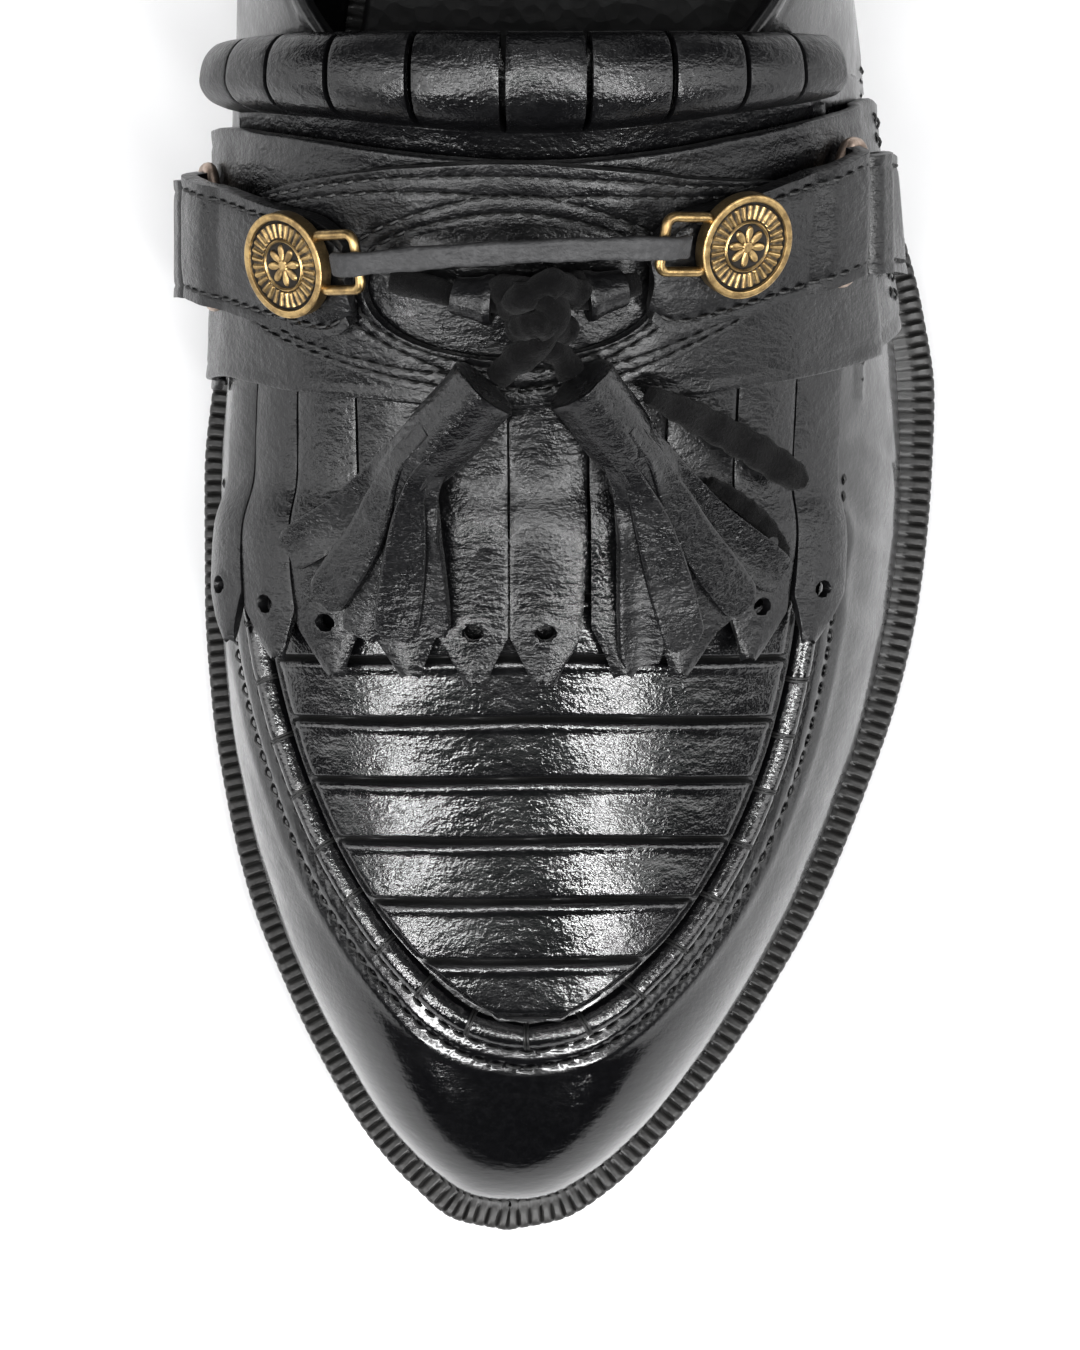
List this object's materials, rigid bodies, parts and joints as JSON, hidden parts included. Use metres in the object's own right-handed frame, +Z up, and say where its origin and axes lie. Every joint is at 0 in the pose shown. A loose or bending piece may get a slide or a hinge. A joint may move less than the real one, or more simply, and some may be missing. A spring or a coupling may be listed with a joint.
{
  "type": "kiltie tassel loafer",
  "caption": "Black leather slip-on shoe with a pleated apron, a fringed kiltie under a buckled saddle strap, hanging tassels, a welted sole and a low stacked heel.",
  "frame": {"origin": "on the floor, under the middle of the shoe's bounding box", "axes": "+Y from the toe to the heel, +X to the outer (lateral) side of the left shoe, +Z up from the floor"},
  "size_m": [0.1082, 0.298, 0.1008],
  "materials": {
    "upper_leather": "polished black calf, high gloss",
    "kiltie_leather": "polished black calf with a fine grain",
    "strap_leather": "black leather, semi-gloss, grained",
    "sole_leather": "black edge-dressed sole leather",
    "heel_rubber": "matt black rubber",
    "lining_leather": "matt black lining leather",
    "suede": "black suede lace, napped",
    "antique_brass": "antiqued brass with dark recesses",
    "aged_bronze": "worn bronze-coloured wire"
  },
  "bodies": {
    "root": {"outsole": "sole_leather", "welt": "sole_leather", "heel_stack": "sole_leather", "heel_top_piece": "heel_rubber", "insole": "lining_leather", "upper": "upper_leather", "apron_panel": "upper_leather", "apron_roll": "upper_leather", "kiltie": "kiltie_leather", "saddle": "strap_leather", "saddle_overlay": "strap_leather", "strap_medial": "strap_leather", "strap_lateral": "strap_leather", "anchor_medial": "strap_leather", "anchor_lateral": "strap_leather", "thong": "strap_leather", "sleeve_medial": "strap_leather", "sleeve_lateral": "strap_leather", "tassel_medial": "strap_leather", "tassel_lateral": "strap_leather", "knot": "suede", "cord_end_long": "suede", "medallion_medial": "antique_brass", "medallion_lateral": "antique_brass", "ring_medial": "aged_bronze", "ring_lateral": "aged_bronze"}
  },
  "joints": []
}
